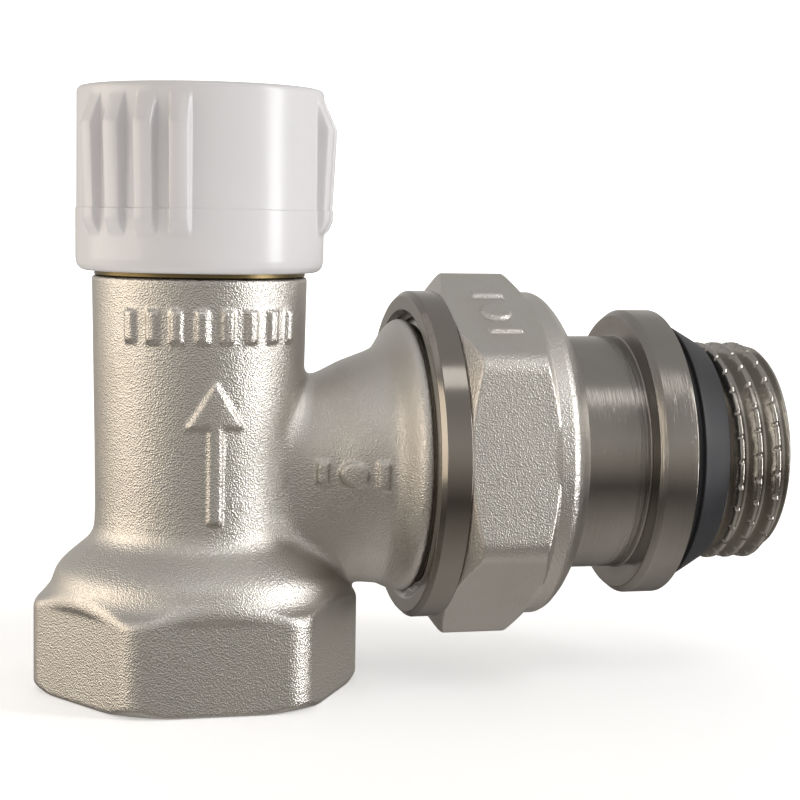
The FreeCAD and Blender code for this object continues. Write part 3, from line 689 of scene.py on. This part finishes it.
@dataclass
class Measures:
    """Sizes read from the CAD nodes' boxes, in millimetres."""

    height: float = field(init=False)
    flats: float = field(init=False)
    body_end: float = field(init=False)
    barrel_top: float = field(init=False)
    nut: tuple[float, float] = field(init=False)
    tail: tuple[float, float] = field(init=False)
    seal: tuple[float, float] = field(init=False)
    cap: tuple[float, float] = field(init=False)
    cap_radius: float = 11.2

    def __post_init__(self) -> None:
        body_low, body_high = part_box("valve_body")
        tail_low, tail_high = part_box("tailpiece")
        nut_low, nut_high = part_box("union_nut")
        seal_low, seal_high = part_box("seal_ring")
        cap_low, cap_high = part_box("cap")
        self.height = (tail_low.z + tail_high.z) / 2.0 / MM
        self.flats = body_high.y / MM
        self.body_end = body_high.x / MM
        self.barrel_top = body_high.z / MM
        self.nut = (nut_low.x / MM, nut_high.x / MM)
        self.tail = (tail_low.x / MM, tail_high.x / MM)
        self.seal = (seal_low.x / MM, seal_high.x / MM)
        self.cap = (cap_low.z / MM, cap_high.z / MM)


class Piece:
    """Shared work of every built sub-assembly."""

    def __init__(self, size: Measures, paint: Paint) -> None:
        self.size = size
        self.paint = paint

    def finish(
        self, obj: bpy.types.Object, look: Finish, body: str, nodes: Sequence[str]
    ) -> bpy.types.Object:
        """Paint a piece, let it ride on a body and stand for CAD nodes."""
        self.paint.put(obj, look)
        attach(obj, body)
        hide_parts(*nodes)
        return obj


class ValveBody(Piece):
    """The forged body with its machined inlet, barrel top and union end."""

    def build(self) -> None:
        """Make the forged skin and the three machined inserts."""
        size = self.size
        forging = Forging(size.height, size.flats, size.barrel_top)
        step = 0.24
        low, high = np.array([-15.6, -15.6, -0.6]), np.array([19.6, 15.6, size.barrel_top + 0.6])
        points, faces = surface_net(forging.value, low, high, step)
        LOG.info("forged skin has %d points", len(points))
        self.finish(mesh_object("body_forging", points, faces), FORGED, "valve", ["valve_body"])
        self.inlet()
        self.union_end()
        self.barrel_rim()

    def inlet(self) -> None:
        """The machined foot ring, the inlet thread and the seat above it."""
        thread = Thread(10.4775, 9.3155, 0.6, 10.4)
        outline = soften(
            [
                (0.6, 12.2), (0.0, 12.2), (0.0, 10.75), (1.15, 9.45), (1.5, 9.3155),
                (11.2, 9.3155), (12.0, 9.3), (12.0, 5.3), (12.3, 5.0), (14.5, 5.0),
                (14.6, 5.1), (14.6, 5.85), (14.2, 5.95), (14.2, 7.4),
            ],
            0.1,
        )
        turning = Turning(Axis.BARREL, segments=288)
        obj = turning.build("body_inlet", outline, 0.12, thread.female)
        flip(obj)
        self.finish(obj, INLET, "valve", ["valve_body"])

    def union_end(self) -> None:
        """The male union thread, the end face and the bore for the tail's nose."""
        end = self.size.body_end
        thread = Thread(13.2205, 12.0585, 19.5, end - 0.4)
        outline = soften(
            [
                (18.8, 11.2), (18.8, 12.0), (19.9, 12.1), (20.4, 13.2205),
                (end - 1.1, 13.2205), (end, 12.1), (end, 9.1), (end - 0.6, 8.5),
                (21.2, 8.5), (19.7, 6.0), (17.6, 6.0), (17.4, 6.3),
            ],
            0.08,
        )
        turning = Turning(Axis.BRANCH, self.size.height, 384)
        obj = turning.build("body_union_end", outline, 0.12, thread.male)
        self.finish(obj, TURNED, "valve", ["valve_body"])

    def barrel_rim(self) -> None:
        """The machined ring on top of the barrel."""
        top = self.size.barrel_top
        outline = soften(
            [(top - 0.5, 9.5), (top - 0.12, 9.55), (top, 9.4), (top, 7.5), (top - 9.0, 7.5)], 0.06
        )
        obj = Turning(Axis.BARREL).build("body_barrel_rim", outline)
        self.finish(obj, INLET, "valve", ["valve_body"])


def flip(obj: bpy.types.Object) -> None:
    """Turn a mesh's faces to look the other way."""
    obj.data.flip_normals()


class UnionNut(Piece):
    """The hexagon union nut: bright collar, blasted hexagon and rounded back."""

    def skin_radius(self, along: np.ndarray, angle: np.ndarray) -> np.ndarray:
        """Radius of the forged part of the nut."""
        start = self.size.nut[0] + 2.7
        end = start + 8.2
        flats = hexagon_radius(angle, 15.0, 2.4, math.radians(85.0))
        front = 15.0 + (along - start) * 1.75
        back = 15.0 + (end - along) * 1.75
        arcs = smooth_min(front, back, 0.2)
        hexagon = smooth_min(flats, arcs, 0.25)
        shell = Lofted(
            (
                (start - 1.0, 14.5), (start + 1.0, 14.5), (end - 0.6, 14.9), (end - 0.1, 15.2),
                (end + 1.2, 15.2), (end + 1.7, 14.95), (end + 2.4, 14.2), (end + 3.1, 13.15),
                (end + 3.4, 12.6), (end + 3.7, 11.9),
            ),
            0.16,
        )
        across = 15.0 * np.tan(np.clip(angle - math.radians(115.0), -0.5, 0.5))
        marks = bar(across - 3.4, along - start - 4.4, 0.5, 1.5)
        marks = np.minimum(marks, np.hypot(across, along - start - 4.4) - 1.4)
        marks = np.minimum(marks, bar(across + 3.4, along - start - 4.4, 0.5, 1.5))
        hexagon = hexagon + 0.3 * ease(0.5 - marks / 0.4)
        hexagon = np.where(along > end + 0.4, 0.0, hexagon)
        return smooth_max(hexagon, shell.at(along), 0.12)

    def build(self) -> None:
        """Make the collar with its bore and the hexagon skin."""
        start, end = self.size.nut
        turning = Turning(Axis.BRANCH, self.size.height, 720)
        step = 0.07
        skin = turning.build(
            "nut_hexagon",
            [(start + 2.62, 15.0), (end - 0.02, 12.0)],
            step,
            lambda along, radius, angle: self.skin_radius(along, angle),
        )
        self.finish(skin, FORGED, "nut", ["union_nut"])
        thread = Thread(13.2205, 12.0585, 19.5, end - 5.4, gap=0.05)
        hollow = end - 3.0
        outline = soften(
            [
                (end - 0.06, 12.05), (end, 11.9), (end, 11.35), (end - 0.3, 11.12),
                (hollow, 11.12), (hollow, 13.2), (hollow - 1.4, 13.3), (hollow - 2.4, 12.0585),
                (start + 1.2, 12.0585), (start + 0.75, 12.9), (start, 13.5),
                (start, 14.78), (start + 0.5, 15.25), (start + 2.72, 15.25), (start + 2.8, 14.6),
            ],
            0.09,
        )
        bore = Turning(Axis.BRANCH, self.size.height, 384)
        obj = bore.build("nut_collar", outline, 0.12, thread.female)
        self.finish(obj, COLLAR, "nut", ["union_nut"])


class Tailpiece(Piece):
    """The union tail: ringed nose, turned shank, flange, seal seat, thread and key."""

    def build(self) -> None:
        """Make the turned part, the thread and the key bore."""
        low, high = self.size.tail
        seal_low, seal_high = self.size.seal
        flange = seal_low - 0.05
        turning = Turning(Axis.BRANCH, self.size.height, 320)
        outline = soften(
            [
                (44.9, 6.5), (low, 6.5), (low, 7.9), (low + 0.9, 8.45), (low + 2.1, 8.45),
                (low + 2.1, 7.3), (low + 3.4, 7.3), (low + 3.4, 8.45), (27.05, 8.45),
                (27.05, 10.6), (27.45, 11.04), (29.36, 11.04), (29.36, 10.24), (30.56, 10.24),
                (30.56, 11.04), (flange - 3.62, 11.04), (flange - 3.52, 11.14),
                (flange - 3.52, 13.05), (flange - 2.9, 13.56), (flange, 13.56),
                (flange, 9.32), (flange + 0.5, 9.32),
            ],
            0.09,
        )
        self.finish(turning.build("tail_shank", outline), TURNED, "tail", ["tailpiece"])
        thread = Thread(10.4775, 9.3155, seal_high + 0.35, high, notches=28)
        mouth = 6.0
        outline = soften(
            [
                (flange + 0.4, 9.32), (seal_high - 0.1, 9.32), (seal_high, 10.2),
                (seal_high + 0.2, 10.4775), (high - 0.95, 10.4775), (high, 9.55),
                (high, 7.3), (high - 0.35, 6.95),
            ],
            0.09,
        )
        fine = Turning(Axis.BRANCH, self.size.height, 1008)
        self.finish(
            fine.build("tail_thread", outline, 0.08, thread.male),
            THREADED,
            "tail",
            ["tailpiece"],
        )

        def key(along: np.ndarray, radius: np.ndarray, angle: np.ndarray) -> np.ndarray:
            """Bring the bore's wall in to the key's flats."""
            return np.minimum(radius, hexagon_radius(angle, mouth, 0.25, 0.0))

        outline = [(high - 0.3, 7.0), (high - 0.75, 6.75), (45.2, 6.9), (44.8, 6.5)]
        self.finish(
            turning.build("tail_key", outline, 0.6, key), THREADED, "tail", ["tailpiece"]
        )


class SealRing(Piece):
    """The tapered rubber ring behind the thread."""

    def build(self) -> None:
        """Make the ring as one closed turning."""
        low, high = self.size.seal
        outline = soften(
            [
                (low, 9.4), (low, 11.75), (low + 1.0, 11.85), (low + 1.15, 12.35),
                (high, 10.55), (high, 9.4),
            ],
            0.16,
            closed=True,
        )
        obj = Turning(Axis.BRANCH, self.size.height, 256).build(
            "tail_seal", outline, closed=True
        )
        self.finish(obj, RUBBER, "tail", ["seal_ring"])


class Cap(Piece):
    """The white protective cap with three groups of tapered grip ribs.

    The groups start at these angles round the barrel and aren't evenly spaced.
    """

    ribs: int = 4
    pitch: float = math.radians(15.5)
    groups: tuple[float, ...] = (math.radians(-153.6), math.radians(-26.1), math.radians(90.15))
    half_width: float = 0.85

    def relief(self, along: np.ndarray, angle: np.ndarray) -> np.ndarray:
        """How far the ribs stand out at each point."""
        bottom = self.size.cap[0]
        heights = [bottom + 3.4, bottom + 3.8, bottom + 4.6, bottom + 12.8, bottom + 15.5]
        proud = np.interp(along, heights, [0.0, 0.42, 0.78, 1.2, 0.0])
        radius = self.size.cap_radius
        total = np.zeros_like(along)
        for group in self.groups:
            for k in range(self.ribs):
                centre = group + k * self.pitch
                gap = np.abs((angle - centre + math.pi) % (2.0 * math.pi) - math.pi) * radius
                flank = 1.0 - ease((gap - self.half_width + 0.12) / 0.34)
                crown = np.sqrt(np.maximum(1.0 - 0.35 * (gap / self.half_width) ** 2, 0.0))
                total = np.maximum(total, flank * crown)
        return total * proud

    def build(self) -> None:
        """Make the cup as one closed turning, its outside swelling into ribs."""
        low, high = self.size.cap
        wide = self.size.cap_radius
        thread_top = low + 7.9
        outer = [
            (low + 1.3, 9.8), (low, 9.8), (low, 10.35), (low + 0.14, 10.75),
            (low + 0.5, 11.06), (low + 1.1, wide - 0.02), (low + 5.55, wide),
            (low + 5.62, wide - 0.09), (high - 0.5, wide - 0.1), (high - 0.22, wide - 0.2),
            (high - 0.06, wide - 0.4), (high, wide - 0.7), (high, 8.0), (high, 0.02),
        ]
        inner = [
            (high - 1.8, 0.02), (high - 1.8, 9.1), (thread_top + 0.7, 9.1), (thread_top, 8.43),
            (low + 1.9, 8.43), (low + 1.3, 9.0),
        ]
        outline = soften(outer + inner, 0.14, closed=True)

        def swell(along: np.ndarray, radius: np.ndarray, angle: np.ndarray) -> np.ndarray:
            """Raise the ribs on the outside only."""
            return np.where(radius > 10.7, radius + self.relief(along, angle), radius)

        turning = Turning(Axis.BARREL, segments=1440)
        obj = turning.build("cap_shell", outline, 0.3, swell, closed=True)
        self.finish(obj, PLASTIC, "cap", ["cap"])


class Internals(Piece):
    """The pieces that keep their CAD shapes."""

    looks: dict[str, Finish] = {
        "headwork": BRASS,
        "headwork_oring": RUBBER,
        "stem_oring_lower": RUBBER,
        "stem_oring_upper": RUBBER,
        "nose_oring": RUBBER,
        "spindle": BRASS,
        "spindle_clip": STEEL,
        "plug": BRASS,
        "seat_washer": RUBBER,
        "washer_screw": BRASS,
        "cap_gasket": RUBBER,
        "split_ring": STEEL,
    }

    def build(self) -> None:
        """Paint each CAD node."""
        for name, look in self.looks.items():
            self.paint.put(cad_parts[name], look)


@dataclass(frozen=True)
class SoftBox:
    """One studio light.

    Args:
        name: What it does.
        azimuth: Degrees round from the camera's side, to the right.
        elevation: Degrees up.
        distance: Metres from the object.
        width: Width in metres.
        height: Height in metres.
        power: Watts.
        colour: sRGB colour of the light.
    """

    name: str
    azimuth: float
    elevation: float
    distance: float
    width: float
    height: float
    power: float
    colour: str


class Studio:
    """Pale sweep, soft lights and the camera.

    The surround's stops run from straight down (0) to straight up (1). It is dark just
    under eye level, which gives the turned metal its dark bands.
    """

    surround = (
        (0.0, "#C6C2BE"),
        (0.12, "#9E9A95"),
        (0.28, "#5E5954"),
        (0.46, "#B2AEA8"),
        (0.52, "#C4C0BB"),
        (0.60, "#CCCAC7"),
        (0.80, "#B6B4B2"),
        (1.0, "#BDBCBB"),
    )
    lens_mm = 88.8
    sensor_mm = 36.0
    camera_mm = (-25.34, -178.45, 42.96)
    look_down, look_round, roll = 5.23, -13.92, 0.94  # degrees
    target = Vector((0.018, 0.0, 0.026))
    facing = math.radians(-98.0)
    lights = (
        SoftBox("strip_right", 71.0, 10.0, 0.50, 0.13, 0.55, 2.1, "#FFFFFF"),
        SoftBox("wide_left", -85.0, 10.0, 0.60, 0.72, 0.46, 1.8, "#FFF0DC"),
        SoftBox("top", 15.0, 58.0, 0.60, 0.45, 0.16, 0.32, "#FFFFFF"),
        SoftBox("front_fill", -34.0, 4.0, 0.90, 0.30, 0.16, 0.10, "#FFF6EA"),
    )

    def build(self) -> None:
        """Make the sweep, the world, the lights and the camera."""
        bpy.context.scene.view_settings.view_transform = "Standard"
        self.sweep()
        self.world()
        for light in self.lights:
            self.place(light)
        self.camera()

    def sweep(self) -> None:
        """A seamless pale floor that curves up behind the object."""
        bend, reach, wide = 0.35, 0.95, 0.55
        line = [(-0.14, 0.0), (reach - bend, 0.0)]
        for step in range(1, 25):
            t = step / 24.0 * math.pi / 2.0
            line.append((reach - bend + bend * math.sin(t), bend - bend * math.cos(t)))
        line.append((reach, 0.9))
        verts = [(x, y, z) for y, z in line for x in (-wide, wide)]
        faces = [(2 * i, 2 * i + 1, 2 * i + 3, 2 * i + 2) for i in range(len(line) - 1)]
        mesh = bpy.data.meshes.new("sweep")
        mesh.from_pydata(verts, [], faces)
        mesh.polygons.foreach_set("use_smooth", [True] * len(faces))
        floor = bpy.data.objects.new("sweep", mesh)
        bpy.context.scene.collection.objects.link(floor)
        mat = bpy.data.materials.new("pale_sweep")
        mat.use_nodes = True
        tree = mat.node_tree
        place = wire(tree, "ShaderNodeTexCoord", {}, {}).outputs["Object"]
        split = wire(tree, "ShaderNodeSeparateXYZ", {}, {"Vector": place})
        glow = wire(
            tree,
            "ShaderNodeMapRange",
            {"From Min": -0.05, "From Max": 0.5, "To Min": 0.30, "To Max": 0.76},
            {"Value": split.outputs["Y"]},
        )
        shader = tree.nodes["Principled BSDF"]
        shader.inputs["Base Color"].default_value = srgb("#F4F4F4")
        shader.inputs["Roughness"].default_value = 0.6
        shader.inputs["Emission Color"].default_value = (1.0, 1.0, 1.0, 1.0)
        tree.links.new(glow.outputs["Result"], shader.inputs["Emission Strength"])
        mesh.materials.append(mat)
        floor.visible_glossy = False

    def world(self) -> None:
        """A surround for the metal to reflect: bright overhead, dimmer at eye level."""
        world = bpy.data.worlds.new("surround")
        bpy.context.scene.world = world
        world.use_nodes = True
        tree = world.node_tree
        way = wire(tree, "ShaderNodeTexCoord", {}, {}).outputs["Generated"]
        split = wire(tree, "ShaderNodeSeparateXYZ", {}, {"Vector": way})
        level = wire(
            tree,
            "ShaderNodeMapRange",
            {"From Min": -1.0, "From Max": 1.0, "To Min": 0.0, "To Max": 1.0},
            {"Value": split.outputs["Z"]},
        )
        ramp = wire(tree, "ShaderNodeValToRGB", {}, {"Fac": level.outputs["Result"]})
        stops = ramp.color_ramp.elements
        for spot, code in self.surround[1:-1]:
            stops.new(spot).color = srgb(code)
        stops[0].color = srgb(self.surround[0][1])
        stops[-1].color = srgb(self.surround[-1][1])
        tree.links.new(ramp.outputs["Color"], tree.nodes["Background"].inputs["Color"])

    def place(self, light: SoftBox) -> None:
        """Put one soft box on a sphere round the object, facing it."""
        turn = self.facing + math.radians(light.azimuth)
        up = math.radians(light.elevation)
        away = Vector(
            (math.cos(turn) * math.cos(up), math.sin(turn) * math.cos(up), math.sin(up))
        )
        lamp = bpy.data.lights.new(light.name, "AREA")
        lamp.shape = "RECTANGLE"
        lamp.size, lamp.size_y = light.width, light.height
        lamp.energy = light.power
        lamp.color = srgb(light.colour)[:3]
        obj = bpy.data.objects.new(light.name, lamp)
        obj.location = self.target + away * light.distance
        obj.rotation_euler = away.to_track_quat("Z", "Y").to_euler()
        bpy.context.scene.collection.objects.link(obj)

    def camera(self) -> None:
        """The camera, close to the object, a little above the branch and slightly rolled."""
        data = bpy.data.cameras.new("camera")
        data.lens = self.lens_mm
        data.sensor_width = self.sensor_mm
        cam = bpy.data.objects.new("camera", data)
        pitch = math.radians(90.0 - self.look_down)
        aim = Euler((pitch, 0.0, math.radians(self.look_round))).to_matrix()
        tilt = Matrix.Rotation(math.radians(self.roll), 3, "Z")
        cam.rotation_euler = (aim @ tilt).to_euler()
        cam.location = Vector(self.camera_mm) * MM
        bpy.context.scene.collection.objects.link(cam)
        bpy.context.scene.camera = cam


def main() -> None:
    """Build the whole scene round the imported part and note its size."""
    logging.basicConfig(level=logging.INFO)
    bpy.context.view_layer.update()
    size, paint = Measures(), Paint()
    for kind in (ValveBody, UnionNut, Tailpiece, SealRing, Cap, Internals):
        kind(size, paint).build()
    Studio().build()
    bpy.context.view_layer.update()


if __name__ == "__main__":
    main()
